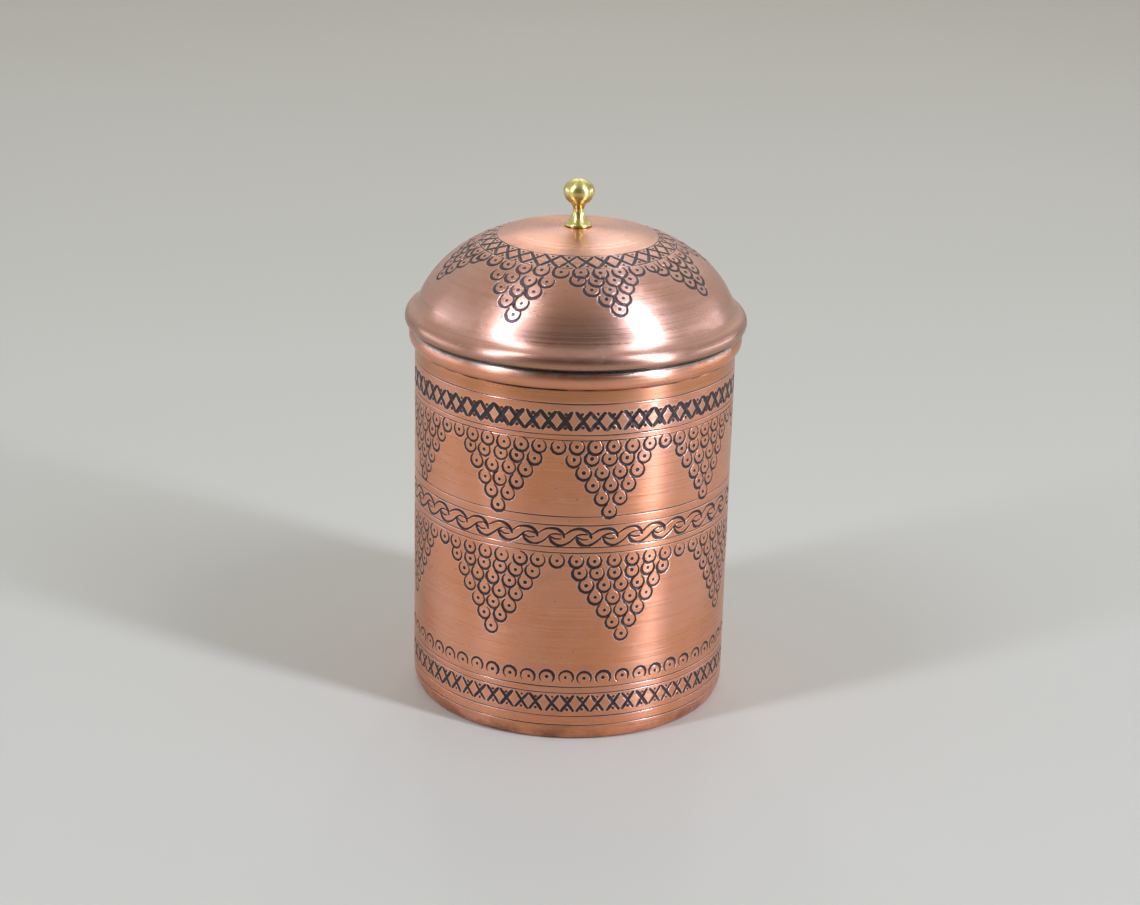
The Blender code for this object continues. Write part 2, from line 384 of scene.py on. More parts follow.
class Shell:
    """Collects the bands and turned rows of one piece, and joins them into a closed mesh."""

    def __init__(self):
        self.co, self.normal, self.faces = [], [], []
        self.cut, self.burr, self.tin, self.plain = [], [], [], []
        self.count = 0

    def _add(self, theta, r, z, normal_r, normal_z, cut, burr, tin, plain, faces):
        sin, cos = np.sin(theta), -np.cos(theta)
        self.co.append(np.stack([r * sin, r * cos, z], 1) * MM)
        self.normal.append(np.stack([normal_r * sin, normal_r * cos, normal_z], 1))
        for store, values in ((self.cut, cut), (self.burr, burr), (self.tin, tin), (self.plain, plain)):
            store.append(np.broadcast_to(values, len(theta)).astype(float))
        self.faces.extend((np.array(faces) + self.count).tolist())
        self.count += len(theta)

    def band(self, skin, s_top, s_bottom, strokes, row_gap, scale_radius):
        """Add a band of the skin with strokes cut into it."""
        theta, s, height, cut, burr, triangles = cut_band(
            skin, s_top, s_bottom, strokes, row_gap, scale_radius)
        r, z, normal_r, normal_z = skin.at(s)
        self._add(theta, r + height * normal_r, z + height * normal_z, normal_r, normal_z,
                  cut, burr, 0.0, np.abs(height) < 1e-6, triangles)

    def rows(self, points, columns=COLUMNS, tin=0.0, cut=0.0):
        """Add rows turned from an outline that runs down the outside.

        tin is one value or one for each point; cut, the oxide and painted shade laid on the rows, is one
        value or one for each point and column.
        """
        skin = Skin(points)
        count = len(points)
        turn = np.linspace(0, math.tau, columns, endpoint=False)
        theta = np.tile(turn, count)
        r, z = np.repeat(skin.points[:, 0], columns), np.repeat(skin.points[:, 1], columns)
        normal_r, normal_z = np.repeat(skin.normal[:, 0], columns), np.repeat(skin.normal[:, 1], columns)
        tin = np.repeat(np.broadcast_to(tin, count), columns)
        k, i = np.meshgrid(np.arange(count - 1), np.arange(columns), indexing="ij")
        j = (i + 1) % columns
        faces = np.stack([k * columns + i, (k + 1) * columns + i,
                          (k + 1) * columns + j, k * columns + j], -1)
        cut = np.broadcast_to(cut, (count, columns)).ravel()
        self._add(theta, r, z, normal_r, normal_z, cut, 0.0, tin, 1.0, faces.reshape(-1, 4))

    def build(self, name, material, lumps=None):
        """Make the object: points that meet are merged, and uncut points keep the true turned normal."""
        mesh = bpy.data.meshes.new(name)
        co = np.concatenate(self.co)
        if lumps is not None:
            co = co + lumps(co)
        mesh.from_pydata(co.tolist(), [], self.faces)
        for label, values in (("cut", self.cut), ("burr", self.burr), ("tin", self.tin),
                              ("plain", self.plain)):
            layer = mesh.attributes.new(label, "FLOAT", "POINT")
            layer.data.foreach_set("value", np.concatenate(values).astype(np.float32))
        layer = mesh.attributes.new("true_normal", "FLOAT_VECTOR", "POINT")
        layer.data.foreach_set("vector", np.concatenate(self.normal).astype(np.float32).ravel())
        bm = bmesh.new()
        bm.from_mesh(mesh)
        bmesh.ops.remove_doubles(bm, verts=bm.verts, dist=2e-6)
        bmesh.ops.dissolve_degenerate(bm, edges=bm.edges, dist=1e-7)
        bm.to_mesh(mesh)
        bm.free()
        mesh.shade_smooth()
        count = len(mesh.vertices)
        plain = np.zeros(count, np.float32)
        mesh.attributes["plain"].data.foreach_get("value", plain)
        true = np.zeros(count * 3, np.float32)
        mesh.attributes["true_normal"].data.foreach_get("vector", true)
        normals = np.zeros(count * 3, np.float32)
        mesh.vertex_normals.foreach_get("vector", normals)
        if lumps is None:
            normals = np.where(plain[:, None] > 0.5, true.reshape(-1, 3), normals.reshape(-1, 3))
            mesh.normals_split_custom_set_from_vertices(normals.tolist())
        for label in ("plain", "true_normal"):
            mesh.attributes.remove(mesh.attributes[label])
        mesh.materials.append(material)
        made = bpy.data.objects.new(name, mesh)
        bpy.context.scene.collection.objects.link(made)
        return made


def settle(piece, body, slot, *nodes):
    """Hang a piece on its body and let it stand for its CAD nodes."""
    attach(piece, body)
    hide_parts(*nodes)
    return piece


# -------- the drum

WALL_TOP = lip_height - 6.2    # where the plain wall begins, under the mouth bead
BANDS_TOP = 99.6               # height on the wall where the cut bands begin
BAND_END = 3.6                 # height on the foot where the cut bands end
ROW_GAP = 5.0                  # distance between the plain rows of a cut band
BEAD_STEPS = 16                # rows round the bead
CREASE_ROWS = 5                # rows in the crease under the bead, darkened with oxide and painted shade
WORN_ROWS = 7                  # rows at the top of the bead where some tin is left


def drum_skin():
    """The drum's outside from under the bead, down the wall and round the foot."""
    foot = ellipse_arc((FOOT_RADIUS, FOOT_HEIGHT), (WALL_RADIUS - FOOT_RADIUS, FOOT_HEIGHT), 0, -90, 40)
    wall = [(WALL_RADIUS, z) for z in np.linspace(WALL_TOP, FOOT_HEIGHT, 60)[:-1]]
    return Skin(wall + foot)


def broken_line(rng, columns):
    """How dark the crease under the bead is round the axis, as oxide and painted shade: 0 where it is clean,
    1 where it is darkest.
    """
    turn = np.linspace(0, math.tau, columns, endpoint=False)
    dark = 0.32
    for wave in (3, 5, 8, 13, 21, 34):
        dark = dark + 0.17 * np.sin(wave * turn + rng.uniform(0, math.tau))
    return np.clip(dark, 0.0, 0.8)


def ring_triangles(rng, centres, rows, pitch, radius, place):
    """Triangles of rings pointing down: each row has one ring less than the row above."""
    strokes = []
    for centre in centres:
        for k, height in enumerate(rows):
            count = len(rows) - k
            drift = rng.gauss(0, 0.25)
            for j in range(count):
                x = (j - (count - 1) / 2) * pitch + drift
                strokes += punched_ring(rng, math.radians(centre) + x / radius, place(height))
    return strokes


def spread_angles(seen, count):
    """The seen angles in degrees, and more between the last and the first to make up count in all."""
    left = count - len(seen)
    gap = (seen[0] + 360 - seen[-1]) / (left + 1)
    return list(seen) + [seen[-1] + gap * (i + 1) for i in range(left)]


def make_drum(material):
    """The drum's shell: cut bands down the wall, then the foot, the tinned inside, the lip and the bead."""
    rng = random.Random(11)
    skin = drum_skin()
    shell = Shell()

    def down(z):
        return WALL_TOP - z

    def line(z):
        return scribed_line(rng, skin, down(z))

    def around(count, start, make):
        strokes = []
        for i in range(count):
            strokes += make(math.radians(start) + math.tau * i / count)
        return strokes

    crosses_above = around(64, -42.1, lambda t: cross(rng, t, down(93.5), 1.82, 2.45, 0.78, 0.60))
    upper_row = around(56, -24.2, lambda t: punched_ring(rng, t, down(86.2)))
    upper_rings = ring_triangles(rng, spread_angles((-66.1, -25.3, 13.4, 53.7), 9),
                                 (82.8, 79.0, 75.2, 71.5, 67.9), 4.95, WALL_RADIUS, down)
    links = around(39, -25.8, lambda t: scroll(rng, t, down(60.55), math.tau * WALL_RADIUS / 39, 5.1))
    lower_row = around(54, -4.4, lambda t: punched_ring(rng, t, down(53.5)))
    lower_rings = ring_triangles(rng, spread_angles((-75.7, -28.1, 18.6, 67.6), 8),
                                 (50.0, 46.4, 42.7, 39.0, 35.4, 31.8), 4.85, WALL_RADIUS, down)
    foot_row = around(54, -7.1, lambda t: punched_ring(rng, t, down(18.9), tilt=math.pi, opening=96.0))
    crosses_below = around(66, -5.2, lambda t: cross(rng, t, down(11.2), 1.72, 2.3, 0.60, 0.52))

    bands = (
        (BANDS_TOP, 90.25, crosses_above + line(98.3)),
        (90.25, 64.55, line(89.6) + line(88.1) + upper_row + upper_rings + line(66.4)),
        (64.55, 56.7, line(63.9) + line(57.55) + links),
        (56.7, 22.3, line(55.9) + lower_row + lower_rings),
        (22.3, 15.2, line(16.15) + foot_row),
        (15.2, BAND_END, line(14.35) + line(7.3) + line(4.55) + crosses_below),
    )
    for top, bottom, strokes in bands:
        shell.band(skin, down(top), down(bottom), strokes, ROW_GAP, WALL_RADIUS)

    inner = WALL_RADIUS - SHEET
    bead_middle = (lip_height + BEAD_BOTTOM) / 2
    bead_half = (lip_height - BEAD_BOTTOM) / 2
    bead_out = bead_radius - WALL_RADIUS - 0.1
    foot_inner = FOOT_RADIUS - SHEET
    end = skin.at(down(BAND_END))
    below = [tuple(point) for point in skin.points if point[1] < end[1] - 0.02]
    outline = [(float(end[0]), float(end[1]))] + below
    outline += [(FOOT_RADIUS - 0.5, 0.0), (foot_inner, 0.0)]
    tinned_from = len(outline)
    outline += ellipse_arc((foot_inner, FOOT_HEIGHT + 0.3),
                           (inner - foot_inner, FOOT_HEIGHT + 0.3), -90, 0, 10)[1:]
    outline += [(inner, z) for z in np.linspace(12, lip_height - 1.0, 8)]
    outline += ellipse_arc((inner + 0.45, lip_height - 0.45), (0.45, 0.45), 180, 90, 5)
    outline += [(inner + 0.9, lip_height)]
    outline += ellipse_arc((WALL_RADIUS + 0.35, lip_height - 0.35), (0.35, 0.35), 90, 40, 3)
    lip_end = len(outline)
    outline += ellipse_arc((WALL_RADIUS + 0.1, bead_middle), (bead_out, bead_half), 66, -72, BEAD_STEPS)
    outline += [(WALL_RADIUS + 0.22, BEAD_BOTTOM + 0.02), (WALL_RADIUS + 0.02, BEAD_BOTTOM + 0.12),
                (WALL_RADIUS - 0.16, BEAD_BOTTOM - 0.06), (WALL_RADIUS - 0.02, BEAD_BOTTOM - 0.22),
                (WALL_RADIUS, BEAD_BOTTOM - 0.5)]
    outline += [(WALL_RADIUS, z) for z in (101.0, 100.3, BANDS_TOP)]
    tin = [1.0 if tinned_from <= k < lip_end else 0.0 for k in range(len(outline))]
    for k in range(WORN_ROWS):
        tin[lip_end + k] = 0.74 - 0.075 * k
    # Oxide and painted shade: the crease under the bead is darkened unevenly round the axis.
    crease = slice(lip_end + BEAD_STEPS, lip_end + BEAD_STEPS + CREASE_ROWS)
    shade_and_oxide = np.zeros((len(outline), COLUMNS))
    shade_and_oxide[crease] = broken_line(rng, COLUMNS)
    shell.rows(outline, tin=tin, cut=shade_and_oxide)
    return settle(shell.build("engraved_drum", material), "canister", "body_copper", "body_drum")


# -------- the lid

# Each arc's radius, and the downward slope in degrees where it ends. The lid's are rounded from a
# search that matched the dome's outline to the photograph; the knob's were worked out one by one.
LID_ARCS = (
    (150.0, 4.7),      # crown
    (43.3, 37.7),      # shoulder
    (29.0, 66.8),      # side
    (-4.8, 28.5),      # flare above the brim
    (3.1, 90.0),       # outer face of the brim
    (1.9, 250.0),      # its edge, rolled under
)
KNOB_ARCS = (
    (5.0, 41.0),       # flat top of the head
    (2.97, 90.0),      # its round side
    (3.85, 146.0),     # its underside
    (-2.5, 90.0),      # neck
    (-4.0, 28.0),      # flare
    (0.52, 180.0),     # edge of the flange
)
KNOB_DROP = 0.3        # the flange sits on the crown, without the CAD's clearance
STUD_RADIUS = 1.42
THREAD_PITCH = 0.4
THREAD_DEPTH = 0.16
ENGRAVED_FROM = 15.0   # distances from the lid's axis along its outside
ENGRAVED_TO = 52.5
LID_PLAN_RADIUS = 34.0  # radius at which the flat plan of the lid has its true width
RIM_SHADE = 1.0         # height of the painted shade, in oxide's colour, on the brim's rolled edge
BUNCH_ROWS = 4         # rings in a bunch's top row; each row below has one less
BUNCHES = (            # angle of the top row and of the tip, distance along the outside of each
    (-77.0, -75.4, 31.6, 41.2), (-27.1, -24.4, 34.2, 45.5),
    (13.7, 16.9, 33.2, 42.6), (61.0, 62.0, 32.0, 41.7),
    (106.0, 107.5, 33.0, 43.6), (150.0, 152.0, 34.0, 44.4),
    (196.0, 197.0, 33.4, 43.0), (240.0, 241.5, 33.8, 44.8),
)


def raised(points, height):
    """The same points, moved up."""
    return [(r, z + height) for r, z in points]


def off_centre(theta):
    """How far up the outside the lid's ornament slips at each angle, because it was laid out off centre."""
    return 0.55 * (math.cos(theta) - 1)


def make_lid(material):
    """The lid's shell, with its ornament struck by eye: no two bunches of rings hang alike."""
    rng = random.Random(23)
    whole = arc_chain(LID_ARCS, 0.4)
    skin = Skin(raised(whole, brim_bottom - min(z for _, z in whole)))
    crown = float(skin.points[0, 1])
    shell = Shell()

    def around(count, start, s, make):
        strokes = []
        for i in range(count):
            theta = math.radians(start) + math.tau * i / count
            strokes += make(theta, s + off_centre(theta))
        return strokes

    def ring(theta, s):
        return punched_ring(rng, theta, s, opening=105.0, radius=2.12, heavy=0.60, light=0.36)

    strokes = around(33, -48.8, 26.0, lambda theta, s: cross(rng, theta, s, 2.1, 2.3, 0.62, 0.54))
    strokes += around(35, -28.8, 30.3, ring)
    for top_angle, tip_angle, top, tip in BUNCHES:
        for k in range(BUNCH_ROWS):
            s = top + (tip - top) * k / (BUNCH_ROWS - 1)
            angle = math.radians(top_angle + (tip_angle - top_angle) * k / (BUNCH_ROWS - 1))
            count = BUNCH_ROWS - k
            for j in range(count):
                x = (j - (count - 1) / 2) * 4.9 + rng.gauss(0, 0.12)
                strokes += ring(angle + x / float(skin.at(s)[0]), s + rng.gauss(0, 0.12))
    for s in (23.3, 28.7):
        strokes += scribed_line(rng, skin, s, off_centre)
    shell.band(skin, ENGRAVED_FROM, ENGRAVED_TO, strokes, 1.6, LID_PLAN_RADIUS)

    def point_at(s):
        r, z, _, _ = skin.at(s)
        return (float(r), float(z))

    hole_s = float(np.interp(STUD_HOLE, skin.points[:40, 0], skin.length[:40]))
    crown_rows = [point_at(s) for s in np.linspace(hole_s, ENGRAVED_FROM, 10)]
    rim_rows = [point_at(ENGRAVED_TO)]
    rim_rows += [tuple(p) for p, s in zip(skin.points, skin.length) if s > ENGRAVED_TO + 0.2]
    inside = raised(arc_chain(LID_ARCS, 0.8, LID_SHEET), crown)
    inside = [p for p in inside if p[0] > STUD_HOLE + 0.15]
    edge = [(STUD_HOLE + 0.1, inside[0][1] + 0.02), (STUD_HOLE, inside[0][1] + 0.12),
            (STUD_HOLE, crown_rows[0][1] - 0.12), (STUD_HOLE + 0.1, crown_rows[0][1])]
    outline = rim_rows + inside[::-1] + edge + crown_rows[1:]
    tin_from, tin_to = len(rim_rows), len(rim_rows) + len(inside)
    tin = [1.0 if tin_from <= k < tin_to else 0.0 for k in range(len(outline))]
    # Painted shade: the brim's rolled edge is darkened through the cut attribute, as the shadow of the gap
    # over the lip.
    shade_and_oxide = np.zeros((len(outline), 1))
    for k, (_, z) in enumerate(rim_rows):
        if z < brim_bottom + RIM_SHADE:
            shade_and_oxide[k] = min(0.5, 0.55 * (brim_bottom + RIM_SHADE - z))
    shell.rows(outline, tin=tin, cut=shade_and_oxide)
    return settle(shell.build("engraved_lid", material), "lid", "lid_copper", "lid_dome")


def make_knob(material):
    """The brass knob with its flange and a threaded stud."""
    chain = arc_chain(KNOB_ARCS, 0.22)
    outline = raised(chain, knob_top - KNOB_DROP)
    seat = outline[-1][1]
    stud = STUD_RADIUS
    outline += [(stud + 0.5, seat), (stud, seat - 0.05)]
    z = seat - 2.2
    while z > knob_bottom + 0.5:
        outline += [(stud, z), (stud - THREAD_DEPTH, z - THREAD_PITCH / 2)]
        z -= THREAD_PITCH
    outline += [(stud - 0.2, knob_bottom + 0.12), (stud - 0.45, knob_bottom), (0.0, knob_bottom)]
    shell = Shell()
    shell.rows(outline, columns=72)
    return settle(shell.build("turned_knob", material), "lid", "knob_brass", "knob")


# -------- hidden pieces

def lumpy(seed, amount, around=9, fine=41):
    """A function that swells points out and up unevenly around the axis, as wiped solder lies."""
    rng = random.Random(seed)
    counts = (around, around * 2 + 1, fine, fine + 13)
    waves = [(k, rng.uniform(0, math.tau), rng.uniform(0.3, 1.0)) for k in counts]

    def move(co):
        turn = np.arctan2(co[:, 1], co[:, 0])
        swell = sum(size * np.sin(k * turn + phase) for k, phase, size in waves) * amount * MM
        radius = np.hypot(co[:, 0], co[:, 1])
        inward = -swell / radius
        return np.stack([co[:, 0] * inward, co[:, 1] * inward, swell * 0.7], 1)

    return move


def make_pan(material):
    """The base: a disc whose edge turns up inside the drum's foot, a little dished by hand."""
    foot_inner = FOOT_RADIUS - SHEET
    corner = pan_radius - PAN_SHEET - PAN_CORNER
    inside = [(r, PAN_SHEET + 0.12 * math.cos(r / corner * math.pi)) for r in np.linspace(0.0, corner, 16)]
    inside[-1] = (corner, PAN_SHEET)
    outline = inside + ellipse_arc((corner, PAN_SHEET + PAN_CORNER), (PAN_CORNER, PAN_CORNER), -90, 0, 8)[1:]
    outline += ellipse_arc((pan_radius - PAN_SHEET / 2, pan_top - 0.3), (PAN_SHEET / 2, 0.3), 180, 0, 6)
    count_inside = len(outline) - 3
    outline += ellipse_arc((foot_inner - 0.3, FOOT_HEIGHT + 0.3),
                           (pan_radius - foot_inner + 0.3, FOOT_HEIGHT + 0.3), 0, -90, 8)
    outline += [(r, 0.0) for r in (38.0, 30.0, 20.0, 10.0, 0.0)]
    shell = Shell()
    tin = [1.0 if k < count_inside else 0.0 for k in range(len(outline))]
    shell.rows(outline, columns=120, tin=tin)
    return settle(shell.build("base_disc", material), "canister", "base_copper", "base_pan")


def make_fillet(name, node, body, material, seed):
    """A solder run in the corner between two sheets."""
    outer, low, high = node_size(node)
    size = high - low
    outline = [(outer - size, low + 0.05)]
    outline += ellipse_arc((outer - size * 1.05, high + size * 0.05), (size, size * 0.9), -80, -8, 7)
    outline += [(outer - 0.08, high - 0.02), (outer, high - 0.12), (outer, low + 0.1), (outer - 0.1, low),
                (outer - size * 0.9, low), (outer - size, low + 0.05)]
    shell = Shell()
    shell.rows(outline, columns=180)
    return settle(shell.build(name, material, lumpy(seed, 0.05)), body, "solder", node)


def make_collar(material):
    """The sleeve under the lid that drops into the mouth, with a rounded lower edge."""
    inner = collar_radius - LID_SHEET
    outline = ellipse_arc((inner + 0.4, collar_bottom + 0.4), (0.4, 0.4), -90, -180, 4)
    outline += [(inner, z) for z in np.linspace(collar_bottom + 1, collar_top - 0.2, 6)]
    outline += ellipse_arc((inner + 0.4, collar_top - 0.15), (0.4, 0.15), 180, 0, 4)
    outline += [(collar_radius, z) for z in np.linspace(collar_top - 0.6, collar_bottom + 1, 6)]
    outline += ellipse_arc((collar_radius - 0.5, collar_bottom + 0.6), (0.5, 0.6), 0, -90, 5)
    outline += [outline[0]]
    shell = Shell()
    shell.rows(outline, tin=1.0)
    return settle(shell.build("locating_collar", material), "lid", "tinned_copper", "lid_collar")


def make_washer(material):
    """The plain washer inside the crown."""
    edge = 0.12
    outline = [(STUD_HOLE, washer_bottom + edge), (STUD_HOLE, washer_top - edge),
               (STUD_HOLE + edge, washer_top), (washer_radius - edge, washer_top),
               (washer_radius, washer_top - edge), (washer_radius, washer_bottom + edge),
               (washer_radius - edge, washer_bottom), (STUD_HOLE + edge, washer_bottom),
               (STUD_HOLE, washer_bottom + edge)]
    shell = Shell()
    shell.rows(outline, columns=72)
    return settle(shell.build("brass_washer", material), "lid", "fastener_brass", "knob_washer")


# -------- materials

class Look:
    """A metal's node tree, with short calls for the few nodes that these materials use."""

    def __init__(self, name, anisotropy=0.0):
        self.material = bpy.data.materials.new(name)
        self.material.use_nodes = True
        self.nodes = self.material.node_tree.nodes
        self.shader = self.nodes["Principled BSDF"]
        self.shader.inputs["Metallic"].default_value = 1.0
        self.shader.inputs["Anisotropic"].default_value = anisotropy
        if anisotropy:
            self.shader.inputs["Anisotropic Rotation"].default_value = 0.25
            tangent = self.nodes.new("ShaderNodeTangent")
            tangent.direction_type = "RADIAL"
            tangent.axis = "Z"
            self.link(tangent.outputs["Tangent"], self.shader.inputs["Tangent"])
        place = self.nodes.new("ShaderNodeTexCoord").outputs["Object"]
        self.place = place
        split = self.nodes.new("ShaderNodeSeparateXYZ")
        self.link(place, split.inputs[0])
        self.x, self.y, self.z = split.outputs
        self.radius = self.math("SQRT", self.math("ADD", self.math("MULTIPLY", self.x, self.x),
                                                  self.math("MULTIPLY", self.y, self.y)))
        self.down = self.math("SUBTRACT", self.radius, self.z)

    def link(self, source, target):
        self.material.node_tree.links.new(source, target)

    def feed(self, value, socket):
        if isinstance(value, bpy.types.NodeSocket):
            self.link(value, socket)
        else:
            socket.default_value = value

    def math(self, operation, a, b=0.0):
        node = self.nodes.new("ShaderNodeMath")
        node.operation = operation
        self.feed(a, node.inputs[0])
        self.feed(b, node.inputs[1])
        return node.outputs[0]

    def attribute(self, name):
        node = self.nodes.new("ShaderNodeAttribute")
        node.attribute_name = name
        return node.outputs["Fac"]

    def noise(self, scale, detail=3.0, rough=0.55, seed=0.0, vector=None):
        node = self.nodes.new("ShaderNodeTexNoise")
        node.noise_dimensions = "4D"
        node.inputs["W"].default_value = seed
        node.inputs["Scale"].default_value = scale
        node.inputs["Detail"].default_value = detail
        node.inputs["Roughness"].default_value = rough
        self.link(vector or self.place, node.inputs["Vector"])
        return node.outputs["Fac"]

    def turned_noise(self, along, across, detail=2.0, seed=0.0):
        """Noise drawn out round the axis: along and across are its scales per metre."""
        join = self.nodes.new("ShaderNodeCombineXYZ")
        self.link(self.math("MULTIPLY", self.x, along), join.inputs[0])
        self.link(self.math("MULTIPLY", self.y, along), join.inputs[1])
        self.link(self.math("MULTIPLY", self.down, across), join.inputs[2])
        return self.noise(1.0, detail, 0.6, seed, join.outputs[0])

    def ramp(self, value, low, high, start=0.0, end=1.0):
        """The value run from start to end as it goes from low to high, smoothly."""
        node = self.nodes.new("ShaderNodeMapRange")
        node.interpolation_type = "SMOOTHSTEP"
        self.feed(value, node.inputs["Value"])
        for name, number in (("From Min", low), ("From Max", high), ("To Min", start), ("To Max", end)):
            node.inputs[name].default_value = number
        return node.outputs["Result"]

    def height_mask(self, begins, full, fades, ends):
        """1 between two heights in millimetres, running smoothly to 0 above and below them."""
        rise = self.ramp(self.z, begins * MM, full * MM)
        return self.math("MULTIPLY", rise, self.ramp(self.z, fades * MM, ends * MM, 1.0, 0.0))

    def mix(self, factor, a, b):
        node = self.nodes.new("ShaderNodeMix")
        node.data_type = "RGBA"
        self.feed(factor, node.inputs["Factor"])
        for value, socket in ((a, node.inputs[6]), (b, node.inputs[7])):
            self.feed(value if isinstance(value, bpy.types.NodeSocket) else (*value, 1.0), socket)
        return node.outputs[2]

    def bump(self, height, distance, strength=1.0, normal=None):
        node = self.nodes.new("ShaderNodeBump")
        node.inputs["Strength"].default_value = strength
        node.inputs["Distance"].default_value = distance
        self.link(height, node.inputs["Height"])
        if normal is not None:
            self.link(normal, node.inputs["Normal"])
        return node.outputs["Normal"]

    def finish(self, colour, roughness, normal=None, metallic=None):
        self.link(colour, self.shader.inputs["Base Color"])
        self.link(roughness, self.shader.inputs["Roughness"])
        if normal is not None:
            self.link(normal, self.shader.inputs["Normal"])
        if metallic is not None:
            self.link(metallic, self.shader.inputs["Metallic"])
        return self.material


UNDER_BEAD_REFLECTION = (96.5, 100.5, 102.2, 103.2)   # painted reflection, heights: begins, full, fades, ends
# Painted shade: heights of the band round the lid's brim and the top of the drum's bead that is darkened
BRIM_SHADE = (106.0, 107.0, 110.5, 113.0)
POLISH_RESIDUE = (108.5, 112.5, 116.0, 124.0)
FOOT_DARKENING = (0.4, 6.5)                    # full, ends


def copper_look(name, pink, orange, oxidised, seed):
    """Lathe-brushed engraved copper: oxide in the cuts, burrs painted pale as highlights, tin where it is
    tinned, painted shade in the crease under the bead and on the brim, and a painted reflection under the
    bead.
    """
    look = Look(name, anisotropy=0.75)
    patches = look.ramp(look.noise(38.0, 3.0, seed=seed), 0.38, 0.64)
    streaks = look.turned_noise(9.0, 900.0, 3.0, seed)
    fine = look.turned_noise(28.0, 7000.0, 2.0, seed + 3)
    hair = look.turned_noise(90.0, 16000.0, 1.0, seed + 5)
    smudge = look.ramp(look.noise(140.0, 4.0, 0.7, seed + 7), 0.52, 0.74)
    specks = look.ramp(look.noise(1500.0, 2.0, 0.5, seed + 9), 0.70, 0.76)

    colour = look.mix(patches, pink, orange)
    colour = look.mix(look.ramp(streaks, 0.35, 0.7, 0.0, 0.14), colour, tuple(0.80 * c for c in orange))
    colour = look.mix(look.ramp(fine, 0.62, 0.80, 0.0, 0.06), colour, (0.42, 0.20, 0.12))
    colour = look.mix(look.math("MULTIPLY", smudge, 0.22), colour, (0.50, 0.26, 0.17))
    colour = look.mix(look.math("MULTIPLY", specks, 0.75), colour, (0.10, 0.05, 0.03))
    # Painted reflection: a darker orange band under the bead stands for the warm, dark surroundings it
    # reflects.
    painted_reflection_under_bead = look.height_mask(*UNDER_BEAD_REFLECTION)
    colour = look.mix(look.math("MULTIPLY", painted_reflection_under_bead, 0.55), colour, (0.50, 0.20, 0.07))
    # Darker towards the bottom of the foot, in uneven patches.
    low = look.ramp(look.z, FOOT_DARKENING[0] * MM, FOOT_DARKENING[1] * MM, 1.0, 0.0)
    darker_foot = look.math("MULTIPLY", low, look.ramp(look.noise(95.0, 4.0, 0.65, seed + 19), 0.40, 0.70))
    colour = look.mix(look.math("MULTIPLY", darker_foot, 0.8), colour, (0.16, 0.08, 0.05))

    # Painted shade: the lid's brim and the top of the drum's bead are darkened.
    brim = look.height_mask(*BRIM_SHADE)
    colour = look.mix(look.math("MULTIPLY", brim, 0.6), colour, (0.38, 0.19, 0.12))
    grains = look.ramp(look.noise(1150.0, 3.0, 0.6, seed + 21), 0.60, 0.70)
    spots = look.ramp(look.noise(90.0, 2.0, 0.5, seed + 23), 0.45, 0.60)
    residue = look.math("MULTIPLY", look.height_mask(*POLISH_RESIDUE), look.math("MULTIPLY", grains, spots))
    colour = look.mix(look.math("MULTIPLY", residue, 0.55), colour, (0.92, 0.80, 0.72))

    # Painted highlight: the burr beside each cut is painted pale for its glints, partly as bright rubbed
    # metal.
    burr = look.attribute("burr")
    colour = look.mix(look.ramp(burr, 0.35, 1.0, 0.0, 0.55), colour, (0.98, 0.72, 0.60))

    patchy = look.math("SUBTRACT", look.noise(260.0, 4.0, 0.7, seed + 11), 0.5)
    tinned = look.math("ADD", look.attribute("tin"), look.math("MULTIPLY", patchy, 0.9))
    colour = look.mix(look.ramp(tinned, 0.42, 0.62), colour, (0.62, 0.515, 0.39))

    # The cut attribute darkens the cuts with oxide; in the crease under the bead it is oxide and painted
    # shade, and on the brim's rolled edge painted shade.
    ragged = look.math("SUBTRACT", look.noise(2600.0, 2.0, 0.6, seed + 13), 0.5)
    ragged = look.math("MULTIPLY", ragged, 0.25)
    oxide = look.ramp(look.math("ADD", look.attribute("cut"), ragged), 0.03, 0.26)
    colour = look.mix(oxide, colour, oxidised)

    roughness = look.ramp(look.turned_noise(14.0, 2400.0, 3.0, seed + 15), 0.3, 0.7, 0.25, 0.40)
    roughness = look.math("ADD", roughness, look.math("MULTIPLY", smudge, 0.14))
    roughness = look.math("ADD", roughness, look.math("MULTIPLY", oxide, 0.10))
    metallic = look.ramp(oxide, 0.3, 1.0, 1.0, 0.75)

    normal = look.bump(look.noise(55.0, 1.0, 0.4, seed + 17), 0.0006, 0.35)
    normal = look.bump(fine, 0.000017, 0.5, normal)
    normal = look.bump(hair, 0.000006, 0.5, normal)
    return look.finish(colour, roughness, normal, metallic)


def tin_look(name, seed, base=(0.71, 0.60, 0.46)):
    """Tin wiped over copper: grey, streaky, with copper showing through in places."""
    look = Look(name, anisotropy=0.3)
    streaks = look.turned_noise(12.0, 700.0, 3.0, seed)
    patches = look.noise(70.0, 4.0, 0.6, seed + 2)
    colour = look.mix(look.ramp(streaks, 0.3, 0.7), base, tuple(0.78 * c for c in base))
    colour = look.mix(look.ramp(patches, 0.60, 0.72, 0.0, 0.6), colour, (0.62, 0.40, 0.30))
    roughness = look.ramp(look.noise(180.0, 3.0, 0.6, seed + 4), 0.3, 0.7, 0.28, 0.5)
    normal = look.bump(look.noise(160.0, 3.0, 0.5, seed + 6), 0.00025, 0.4)
    normal = look.bump(streaks, 0.00003, 0.4, normal)
    return look.finish(colour, roughness, normal)


